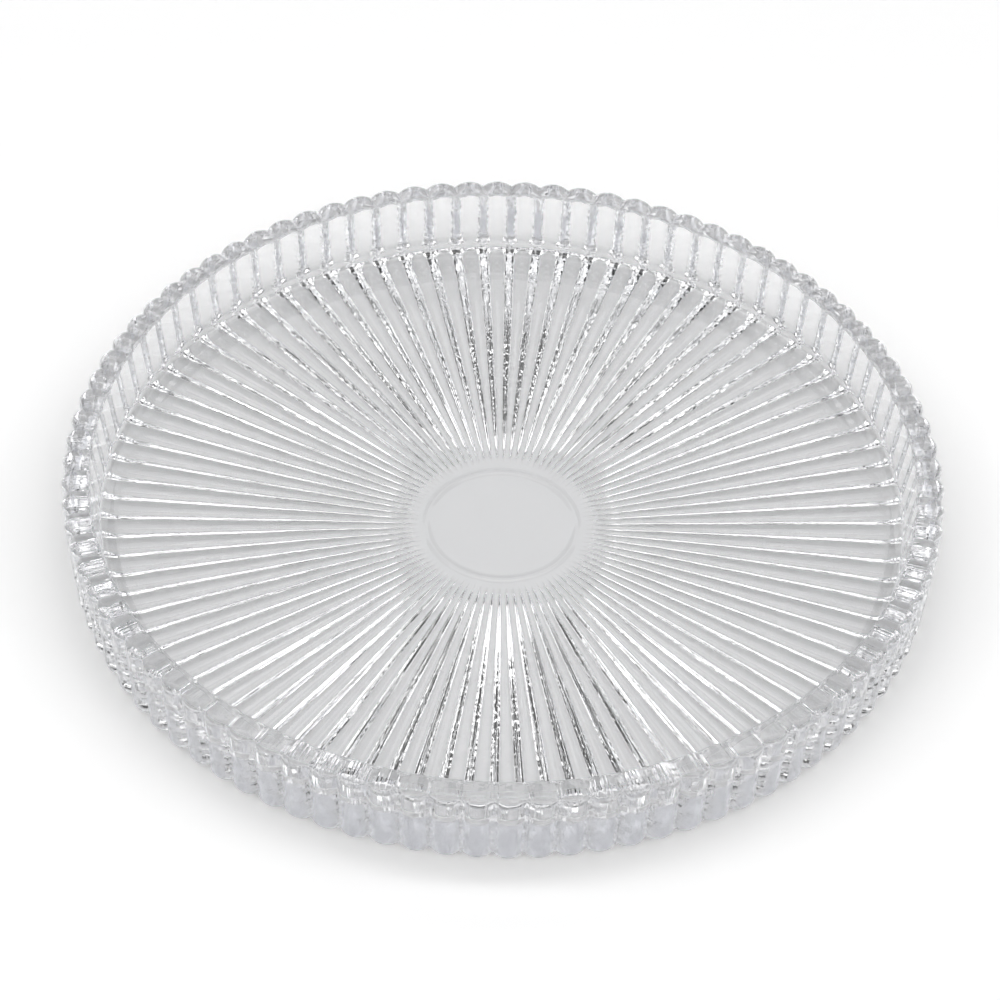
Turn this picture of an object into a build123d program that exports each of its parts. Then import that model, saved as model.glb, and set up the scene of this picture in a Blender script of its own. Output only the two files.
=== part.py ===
from build123d import *
from math import cos, radians, sin, sqrt, tan
import os

# Round reeded glass tray, pressed in one piece. Millimetres, +Z up, with the origin at the centre
# of the base, on the surface that the tray stands on. One reed's crest points along +X.

# Overall
tray_diameter = 250.0        # over the reed crests, at the rim
tray_height = 26.0
wall_lean = 2.5              # how far the outside of the wall leans out, from base to rim

# Inside, which is smooth
rim_width = 8.2              # from the crest line to the inner edge, along the top of the rim
inner_lean = 3.2             # how far the inner wall leans out, from floor to rim
floor_thickness = 8.6        # from the base plane to the floor of the tray
floor_corner_radius = 6.0
rim_inner_edge_radius = 1.0

# Reeds: one convex reed in each sector runs out under the floor, up the wall and over the rim.
# Under the floor they deepen outwards from the pad, then grow shallow again towards the wall.
reed_count = 90
pad_run = 20.0               # from the edge of the pad to where inner_reed_depth is reached
inner_reed_depth = 1.3       # crest to valley under the floor, there
shallow_run = 25.0           # from where floor_reed_depth is reached to the rim's crest line
floor_reed_depth = 2.6       # crest to valley under the floor, at their deepest
outer_reed_depth = 1.2       # crest to valley under the floor, just beyond the wall
wall_reed_depth = 2.2        # crest to valley on the wall
rim_reed_depth = 1.25        # crest to valley on top of the rim
land_depth = 0.06            # taken off the crests under the floor, where the glass rests
rim_outer_edge_radius = 2.8
base_edge_radius = 2.0
edge_clearance = 0.3         # the turned envelope stands this far off the wall and rim crests

# Centre of the base
pad_diameter = 50.0          # plain round pad that the reeds start from
ring_diameter = 43.0         # fine ring pressed into the pad
ring_width = 2.2
ring_depth = 0.2

rim_radius = tray_diameter / 2
base_radius = rim_radius - wall_lean
inner_rim_radius = rim_radius - rim_width
floor_radius = inner_rim_radius - inner_lean
half_sector = radians(180 / reed_count)
pad_overlap = 3.0            # the reeds start this far inside the pad, almost flat
wall_overrun = 4.0           # the reeds' stock runs this far past the wall, which trims it
form_overrun = 1.0           # the wall form runs this far past the base and the rim
stock_root = pad_diameter / 2 - pad_overlap
inner_reed_radius = pad_diameter / 2 + pad_run
deep_reed_radius = rim_radius - shallow_run
stock_reach = rim_radius + wall_overrun
rim_top = tray_height + edge_clearance
rounding_left = rim_outer_edge_radius - edge_clearance
widest_height = rim_top - rim_outer_edge_radius + sqrt(rim_outer_edge_radius**2 - rounding_left**2)


def wall_crest_radius(height):
    """The crests lean out evenly up to the rounding of the rim, where the tray is widest."""
    return base_radius + wall_lean * height / widest_height


def reed_section(radius, floor_depth):
    """One reed seen along its length, at this radius, with this depth under the floor."""
    half_width = radius * tan(half_sector)
    floor_valley = floor_depth - land_depth
    rim_valley = tray_height - rim_reed_depth * radius / rim_radius
    with BuildLine() as outline:
        ThreePointArc((-half_width, floor_valley), (0, -land_depth), (half_width, floor_valley))
        Line((half_width, floor_valley), (half_width, rim_valley))
        ThreePointArc((half_width, rim_valley), (0, tray_height), (-half_width, rim_valley))
        Line((-half_width, rim_valley), (-half_width, floor_valley))
    return outline.line


def polar(radius, angle):
    return (radius * cos(angle), radius * sin(angle))


def wall_outline(crest_radius):
    """The scalloped outline of the wall in plan, one convex arc to a reed."""
    valley_radius = crest_radius - wall_reed_depth
    with BuildLine() as outline:
        for reed in range(reed_count):
            crest = 2 * half_sector * reed
            ThreePointArc(
                polar(valley_radius, crest - half_sector),
                polar(crest_radius, crest),
                polar(valley_radius, crest + half_sector),
            )
    return outline.line


# One reed's stock, a wedge from the pad out past the wall, convex below and above
stations = (
    (stock_root, land_depth),
    (inner_reed_radius, inner_reed_depth),
    (deep_reed_radius, floor_reed_depth),
    (stock_reach, outer_reed_depth),
)
with BuildPart() as reed_stock:
    for radius, floor_depth in stations:
        with BuildSketch(Plane.YZ.offset(radius)):
            add(reed_section(radius, floor_depth))
            make_face()
    loft(ruled=True)

# The scalloped wall, leaning out from the base to the rim
with BuildPart() as wall_form:
    for height in (-form_overrun, tray_height + form_overrun):
        with BuildSketch(Plane.XY.offset(height)):
            add(wall_outline(wall_crest_radius(height)))
            make_face()
    loft(ruled=True)

# The turned envelope: the smooth inside, the rounded edges, the base plane and the pressed ring
with BuildPart() as envelope:
    with BuildSketch(Plane.XZ) as section:
        with BuildLine():
            ring_radius = ring_diameter / 2
            Line((0, 0), (ring_radius - ring_width / 2, 0))
            ThreePointArc(
                (ring_radius - ring_width / 2, 0),
                (ring_radius, ring_depth),
                (ring_radius + ring_width / 2, 0),
            )
            Polyline(
                (ring_radius + ring_width / 2, 0),
                (wall_crest_radius(0) + edge_clearance, 0),
                (wall_crest_radius(rim_top) + edge_clearance, rim_top),
                (inner_rim_radius, rim_top),
                (floor_radius, floor_thickness),
                (0, floor_thickness),
                (0, 0),
            )
        make_face()
        # from the axis outwards: floor corner, rim's inner edge, base edge, rim's outer edge
        corners = section.vertices().sort_by(Axis.X)[-4:]
        radii = (floor_corner_radius, rim_inner_edge_radius, base_edge_radius, rim_outer_edge_radius)
        for corner, radius in zip(corners, radii):
            fillet(corner, radius)
    revolve(axis=Axis.Z)

# The tray: all reeds and the pad, trimmed by the wall form and by the envelope
with BuildPart() as glass_tray:
    with PolarLocations(0, reed_count):
        add(reed_stock.part)
    Cylinder(pad_diameter / 2, tray_height, align=(Align.CENTER, Align.CENTER, Align.MIN))
    add(wall_form.part, mode=Mode.INTERSECT)
    add(envelope.part, mode=Mode.INTERSECT)

glass_tray.part.label = "glass_tray"
os.makedirs("parts", exist_ok=True)
export_step(glass_tray.part, "parts/glass_tray.step")
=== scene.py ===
import math

import bmesh
import bpy
from mathutils import Matrix, Vector


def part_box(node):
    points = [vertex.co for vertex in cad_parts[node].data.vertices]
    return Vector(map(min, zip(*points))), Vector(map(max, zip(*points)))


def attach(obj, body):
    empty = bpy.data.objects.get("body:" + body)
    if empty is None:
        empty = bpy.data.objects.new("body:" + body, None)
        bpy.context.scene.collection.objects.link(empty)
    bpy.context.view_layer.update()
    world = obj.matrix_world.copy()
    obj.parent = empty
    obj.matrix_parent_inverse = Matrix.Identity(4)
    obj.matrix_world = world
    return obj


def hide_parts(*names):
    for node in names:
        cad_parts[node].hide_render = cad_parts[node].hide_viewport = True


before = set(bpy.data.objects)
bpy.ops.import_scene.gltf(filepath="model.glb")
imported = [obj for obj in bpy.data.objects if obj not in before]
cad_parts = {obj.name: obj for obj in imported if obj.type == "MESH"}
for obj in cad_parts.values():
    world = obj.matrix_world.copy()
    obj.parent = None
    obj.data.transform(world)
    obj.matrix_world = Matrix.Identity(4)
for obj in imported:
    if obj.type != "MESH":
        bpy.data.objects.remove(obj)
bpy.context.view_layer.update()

MM = 0.001
low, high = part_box("glass_tray")

# ---------------------------------------------------------------- sizes of the tray, in metres

# Overall sizes, from the frame, and the section between them.
rim_radius = high.x
tray_height = high.z
wall_lean = 2.5 * MM
rim_width = 8.2 * MM
inner_lean = 3.2 * MM
floor_thickness = 8.6 * MM
base_radius = rim_radius - wall_lean
inner_rim_radius = rim_radius - rim_width
floor_radius = inner_rim_radius - inner_lean

# Radii of the section's rounded bends.
floor_corner_radius = 6.0 * MM
rim_inner_edge_radius = 1.0 * MM
rim_outer_edge_radius = 2.8 * MM
base_edge_radius = 2.0 * MM

# The plain pad at the middle of the base, with its fine ring.
pad_radius = 25.0 * MM
ring_radius = 21.5 * MM
ring_width = 2.2 * MM
ring_depth = 0.2 * MM

# The reeds: their count, and the depth from crest to valley at each station under the floor.
reed_count = 90
stock_root = 22.0 * MM
inner_reed_radius = 45.0 * MM
inner_reed_depth = 1.3 * MM
deep_reed_radius = 100.0 * MM
floor_reed_depth = 2.6 * MM
stock_reach = rim_radius + 4.0 * MM
outer_reed_depth = 1.2 * MM
wall_reed_depth = 2.2 * MM
rim_reed_depth = 1.25 * MM
land_depth = 0.06 * MM
reed_run_in = 3.0 * MM

# ---------------------------------------------------------------- how finely the mesh is cut

steps_per_reed = 12
bend_segments = 8
flat_hold = 0.7 * MM
least_bend = math.radians(1)
crease_angle = math.radians(35)
weld_distance = 1e-6
inner_floor_ring = floor_radius * 0.35
outer_floor_ring = floor_radius * 0.7
inner_span_radius = 35.0 * MM
outer_span_radius = 72.0 * MM

# ---------------------------------------------------------------- glass

glass_ior = 1.52
glass_tint = (0.978, 0.98, 0.985, 1)
depth_tint = (0.4, 0.43, 0.53, 1)
depth_density = 1.8

# The faint waviness of pressed glass. The ripple grows towards +Y and the long streaks towards -Y.
wave_height = 0.5 * MM
ripple_scale = 420.0
ripple_gain = 0.25
ripple_slope = 1.1
plain_gain = 0.02
streak_gain = 0.2
streak_slope = 1.1
streaks_per_radian = 130.0
streaks_along = 25.0

# Where the waviness is: on a reed's flank, further out under the floor, and all over the wall.
flank_start = 0.35
flank_fade = 0.3
outer_fade = base_radius * 0.6
wall_ripple = 0.55
wall_flank_ripple = 0.45

# ---------------------------------------------------------------- floor, light and camera

air_gap = 0.3 * MM
floor_half_size = 3.0
floor_color = (0.94, 0.94, 0.94, 1)
card_color = (0.01, 0.01, 0.01, 1)
room_light = 1.5

# The ceiling card and the strip light lie level, each between two distances behind the tray.
ceiling_height = 1.2
ceiling_half_width = 1.2
ceiling_card = (0.5, 0.93)
strip_light = (0.15, 0.3)
strip_radiance = 3.0

# The upright cards: distance from the tray, height of the foot and height of the head.
card_half_width = 1.5
back_and_front_cards = {"back_card": (2.0, 0.1, 1.68), "front_card": (-2.0, 0.1, 1.5)}
side_cards = {"left_card": (-1.7, 0.05, 1.2), "right_card": (1.7, 0.05, 1.2)}

camera_elevation = math.radians(45.6)
camera_azimuth = math.radians(-0.3)
camera_roll = math.radians(2.03)
camera_distance = 11.1 * rim_radius
camera_aim = Vector((-0.7 * MM, 7.1 * MM, 6.9 * MM))
lens_length = 174.465
light_bounces = 64


class Value:
    """A shader socket that takes part in Python arithmetic: each operator adds one Math node."""

    def __init__(self, tree, socket):
        self.tree = tree
        self.socket = socket

    def math(self, operation, first, second):
        node = self.tree.nodes.new("ShaderNodeMath")
        node.operation = operation
        for socket, value in zip(node.inputs, (first, second)):
            if isinstance(value, Value):
                self.tree.links.new(value.socket, socket)
            else:
                socket.default_value = value
        return Value(self.tree, node.outputs[0])

    def __add__(self, other):
        return self.math("ADD", self, other)

    def __radd__(self, other):
        return self.math("ADD", other, self)

    def __sub__(self, other):
        return self.math("SUBTRACT", self, other)

    def __rsub__(self, other):
        return self.math("SUBTRACT", other, self)

    def __mul__(self, other):
        return self.math("MULTIPLY", self, other)

    def __rmul__(self, other):
        return self.math("MULTIPLY", other, self)

    def __pow__(self, other):
        return self.math("POWER", self, other)


class Finish:
    """A node tree, with one method that adds any node from its settings and its inputs."""

    def __init__(self, tree):
        self.tree = tree
        tree.nodes.clear()

    def node(self, kind, settings=None, **inputs):
        node = self.tree.nodes.new(kind)
        for name, value in (settings or {}).items():
            setattr(node, name, value)
        for name, value in inputs.items():
            socket = node.inputs[name.replace("_", " ")]
            if isinstance(value, Value):
                self.tree.links.new(value.socket, socket)
            elif isinstance(value, bpy.types.NodeSocket):
                self.tree.links.new(value, socket)
            else:
                socket.default_value = value
        return node

    def value(self, socket):
        return Value(self.tree, socket)


# ---------------------------------------------------------------- the tray's shape

def section_points():
    """The tray's section at a crest, from axis to axis: radius, height, and how far the bend is rounded."""
    half_ring = ring_width / 2
    return [
        (0, floor_thickness, 0),
        (inner_floor_ring, floor_thickness, 0),
        (outer_floor_ring, floor_thickness, 0),
        (floor_radius, floor_thickness, floor_corner_radius),
        (inner_rim_radius, tray_height, rim_inner_edge_radius),
        (rim_radius, tray_height, rim_outer_edge_radius),
        (base_radius, 0, base_edge_radius),
        (deep_reed_radius, 0, 0),
        (outer_span_radius, 0, 0),
        (inner_reed_radius, 0, 0),
        (inner_span_radius, 0, 0),
        (pad_radius + reed_run_in, 0, 0),
        (pad_radius + reed_run_in * 0.5, 0, 0),
        (pad_radius, 0, 0),
        (ring_radius + half_ring, 0, 0),
        (ring_radius + half_ring * 0.5, ring_depth * 0.75, 0),
        (ring_radius, ring_depth, 0),
        (ring_radius - half_ring * 0.5, ring_depth * 0.75, 0),
        (ring_radius - half_ring, 0, 0),
        (0, 0, 0),
    ]


def rounded_section():
    """The section as one chain of edges, with its bends rounded."""
    bm = bmesh.new()
    section = section_points()
    points = [bm.verts.new((radius, 0, height)) for radius, height, _ in section]
    for start, end in zip(points, points[1:]):
        bm.edges.new((start, end))
    for vert, (_, _, bend_radius) in zip(points, section):
        if bend_radius:
            first, second = (e.other_vert(vert).co - vert.co for e in vert.link_edges)
            tangent = bend_radius / math.tan(first.angle(second) / 2)
            bmesh.ops.bevel(
                bm, geom=[vert], offset=tangent, offset_type="OFFSET", affect="VERTICES",
                segments=bend_segments, profile=0.5, material=-1,
            )
    hold_flats(bm)
    return bm


def hold_flats(bm):
    """Adds a point just beyond each bend, so that the shading of the long flats stays flat."""
    for vert in bm.verts[:]:
        if len(vert.link_edges) != 2:
            continue
        first, second = (e.other_vert(vert).co - vert.co for e in vert.link_edges)
        if math.pi - first.angle(second) < least_bend:
            continue
        for edge in vert.link_edges[:]:
            if edge.calc_length() > 3 * flat_hold:
                bmesh.utils.edge_split(edge, vert, flat_hold / edge.calc_length())


def arc_drop(across, half_width, depth):
    """How far a convex reed has fallen from its crest, this far across it."""
    arc_radius = (half_width ** 2 + depth ** 2) / (2 * depth)
    return arc_radius - math.sqrt(arc_radius ** 2 - across ** 2)


def smooth_ramp(x):
    x = min(max(x, 0.0), 1.0)
    return x * x * (3 - 2 * x)


def under_depth(radius):
    """Crest to valley under the floor, changing evenly from each station to the next."""
    stations = (
        (stock_root, land_depth),
        (inner_reed_radius, inner_reed_depth),
        (deep_reed_radius, floor_reed_depth),
        (stock_reach, outer_reed_depth),
    )
    for (start, start_depth), (end, end_depth) in zip(stations, stations[1:]):
        if radius <= end:
            return start_depth + (end_depth - start_depth) * (radius - start) / (end - start)
    return outer_reed_depth


def reed_depth(vert, radius):
    """Crest to valley at this point of the section, by the way that the surface faces."""
    normal = vert.normal
    outward = (normal.x * vert.co.x + normal.y * vert.co.y) / radius
    on_floor = normal.z > 0.01 and vert.co.z < tray_height / 2
    on_inner_wall = outward < -0.9
    if on_floor or on_inner_wall:
        return 0.0
    if normal.z > 0:
        rim = rim_reed_depth * radius / rim_radius
        return (wall_reed_depth * (1 - normal.z) + rim * normal.z) * (1 + min(0.0, outward))
    under = under_depth(radius) * smooth_ramp((radius - pad_radius) / reed_run_in)
    return wall_reed_depth * (1 + normal.z) - under * normal.z


def press_reeds(bm):
    """Sinks the turned surface between the crests, so that each sector is one convex reed."""
    pitch = 2 * math.pi / reed_count
    ripple = bm.verts.layers.float.new("ripple")
    moves = []
    for vert in bm.verts:
        radius = math.hypot(vert.co.x, vert.co.y)
        if radius < pad_radius:
            continue
        depth = reed_depth(vert, radius)
        if depth <= 0:
            continue
        turn = math.atan2(vert.co.y, vert.co.x)
        across = turn - pitch * round(turn / pitch)
        flank = smooth_ramp((abs(across) / (pitch / 2) - flank_start) / flank_fade)
        under = max(0.0, -vert.normal.z)
        outer = smooth_ramp((radius - pad_radius) / outer_fade)
        vert[ripple] = flank * under * outer + (1 - under) * (wall_ripple + wall_flank_ripple * flank)
        drop = arc_drop(radius * across, radius * pitch / 2, depth)
        moves.append((vert, max(0.0, drop - land_depth * under) * vert.normal))
    for vert, move in moves:
        vert.co -= move


def make_tray():
    bm = rounded_section()
    bmesh.ops.spin(
        bm, geom=bm.verts[:] + bm.edges[:], axis=(0, 0, 1), cent=(0, 0, 0),
        angle=2 * math.pi, steps=reed_count * steps_per_reed, use_merge=True,
    )
    bmesh.ops.remove_doubles(bm, verts=bm.verts, dist=weld_distance)
    bmesh.ops.recalc_face_normals(bm, faces=bm.faces)
    bm.normal_update()
    press_reeds(bm)
    for face in bm.faces:
        face.smooth = True
    mesh = bpy.data.meshes.new("reeded_tray")
    bm.to_mesh(mesh)
    bm.free()
    mesh.set_sharp_from_angle(angle=crease_angle)
    tray = bpy.data.objects.new("reeded_tray", mesh)
    bpy.context.scene.collection.objects.link(tray)
    return tray


# ---------------------------------------------------------------- materials

def glass_waves(finish):
    """Height of the surface's waviness: a fine ripple, and streaks that run along the reeds."""
    place = finish.node("ShaderNodeTexCoord").outputs["Object"]
    waves = finish.node(
        "ShaderNodeTexNoise", {"noise_dimensions": "3D"}, Vector=place, Scale=ripple_scale, Detail=1.0,
        Roughness=0.5,
    )
    axes = finish.node("ShaderNodeSeparateXYZ", Vector=place)
    x, y, z = (finish.value(axes.outputs[name]) for name in "XYZ")
    radius = (x * x + y * y) ** 0.5
    turn = y.math("ARCTAN2", y, x)
    polar = finish.node("ShaderNodeCombineXYZ", X=turn * streaks_per_radian, Y=radius * streaks_along, Z=z)
    streaks = finish.node(
        "ShaderNodeTexNoise", {"noise_dimensions": "2D"}, Vector=polar.outputs["Vector"], Scale=1.0,
        Detail=1.0, Roughness=0.5,
    )
    amount = finish.value(finish.node("ShaderNodeAttribute", {"attribute_name": "ripple"}).outputs["Fac"])
    ripple = finish.value(waves.outputs["Fac"]) * (amount * (y * ripple_slope + ripple_gain) + plain_gain)
    return ripple + finish.value(streaks.outputs["Fac"]) * (amount * (streak_gain - y * streak_slope))


def clear_glass():
    material = bpy.data.materials.new("clear_pressed_glass")
    material.use_nodes = True
    finish = Finish(material.node_tree)
    bump = finish.node("ShaderNodeBump", Strength=1.0, Distance=wave_height, Height=glass_waves(finish))
    glass = finish.node(
        "ShaderNodeBsdfPrincipled", Base_Color=glass_tint, Roughness=0.0, IOR=glass_ior,
        Transmission_Weight=1.0, Normal=bump.outputs["Normal"],
    )
    body = finish.node("ShaderNodeVolumeAbsorption", Color=depth_tint, Density=depth_density)
    finish.node("ShaderNodeOutputMaterial", Surface=glass.outputs["BSDF"], Volume=body.outputs["Volume"])
    return material


def plain_paint(name, color):
    material = bpy.data.materials.new(name)
    material.use_nodes = True
    finish = Finish(material.node_tree)
    paint = finish.node("ShaderNodeBsdfPrincipled", Base_Color=color, Roughness=0.9)
    finish.node("ShaderNodeOutputMaterial", Surface=paint.outputs["BSDF"])
    return material


# ---------------------------------------------------------------- floor, light and camera

def make_floor():
    """A plain floor, an air gap below the base, so that glass and floor don't share a surface."""
    bm = bmesh.new()
    bmesh.ops.create_grid(bm, x_segments=1, y_segments=1, size=floor_half_size)
    bmesh.ops.translate(bm, verts=bm.verts, vec=(0, 0, -air_gap))
    mesh = bpy.data.meshes.new("floor")
    bm.to_mesh(mesh)
    bm.free()
    floor = bpy.data.objects.new("floor", mesh)
    bpy.context.scene.collection.objects.link(floor)
    mesh.materials.append(plain_paint("pale_floor", floor_color))


def make_world():
    world = bpy.data.worlds.new("studio")
    bpy.context.scene.world = world
    world.use_nodes = True
    finish = Finish(world.node_tree)
    sky = finish.node("ShaderNodeBackground", Color=(1, 1, 1, 1), Strength=room_light)
    finish.node("ShaderNodeOutputWorld", Surface=sky.outputs["Background"])


def add_card(name, corners):
    """A flat black card for the glass to show. It is hidden from the camera itself, so it blocks no view."""
    bm = bmesh.new()
    bm.faces.new([bm.verts.new(corner) for corner in corners])
    mesh = bpy.data.meshes.new(name)
    bm.to_mesh(mesh)
    bm.free()
    card = bpy.data.objects.new(name, mesh)
    bpy.context.scene.collection.objects.link(card)
    mesh.materials.append(plain_paint("black_card", card_color))
    card.visible_camera = False


def add_cards():
    near, far = ceiling_card
    add_card("ceiling_card", [
        (-ceiling_half_width, near, ceiling_height), (ceiling_half_width, near, ceiling_height),
        (ceiling_half_width, far, ceiling_height), (-ceiling_half_width, far, ceiling_height),
    ])
    for name, (distance, foot, head) in back_and_front_cards.items():
        add_card(name, [
            (-card_half_width, distance, foot), (card_half_width, distance, foot),
            (card_half_width, distance, head), (-card_half_width, distance, head),
        ])
    for name, (distance, foot, head) in side_cards.items():
        add_card(name, [
            (distance, -card_half_width, foot), (distance, card_half_width, foot),
            (distance, card_half_width, head), (distance, -card_half_width, head),
        ])


def add_strip_light():
    """A long soft light that faces straight down."""
    near, far = strip_light
    light = bpy.data.lights.new("strip_light", "AREA")
    light.shape = "RECTANGLE"
    light.size = 2 * ceiling_half_width
    light.size_y = far - near
    light.energy = strip_radiance * math.pi * light.size * light.size_y
    panel = bpy.data.objects.new("strip_light", light)
    bpy.context.scene.collection.objects.link(panel)
    panel.location = (0, (near + far) / 2, ceiling_height)


def make_camera():
    camera_data = bpy.data.cameras.new("camera")
    camera = bpy.data.objects.new("camera", camera_data)
    bpy.context.scene.collection.objects.link(camera)
    back = Vector((
        math.sin(camera_azimuth) * math.cos(camera_elevation),
        -math.cos(camera_azimuth) * math.cos(camera_elevation),
        math.sin(camera_elevation),
    ))
    camera.location = back * camera_distance
    look = (camera_aim - camera.location).to_track_quat("-Z", "Y")
    camera.rotation_euler = (look.to_matrix() @ Matrix.Rotation(camera_roll, 3, "Z")).to_euler()
    camera_data.lens = lens_length
    bpy.context.scene.camera = camera


tray = make_tray()
tray.data.materials.append(clear_glass())
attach(tray, "root")
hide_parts("glass_tray")

make_floor()
make_world()
add_cards()
add_strip_light()
make_camera()

scene = bpy.context.scene
scene.view_settings.view_transform = "Standard"
scene.cycles.max_bounces = light_bounces
scene.cycles.glossy_bounces = light_bounces
scene.cycles.transmission_bounces = light_bounces
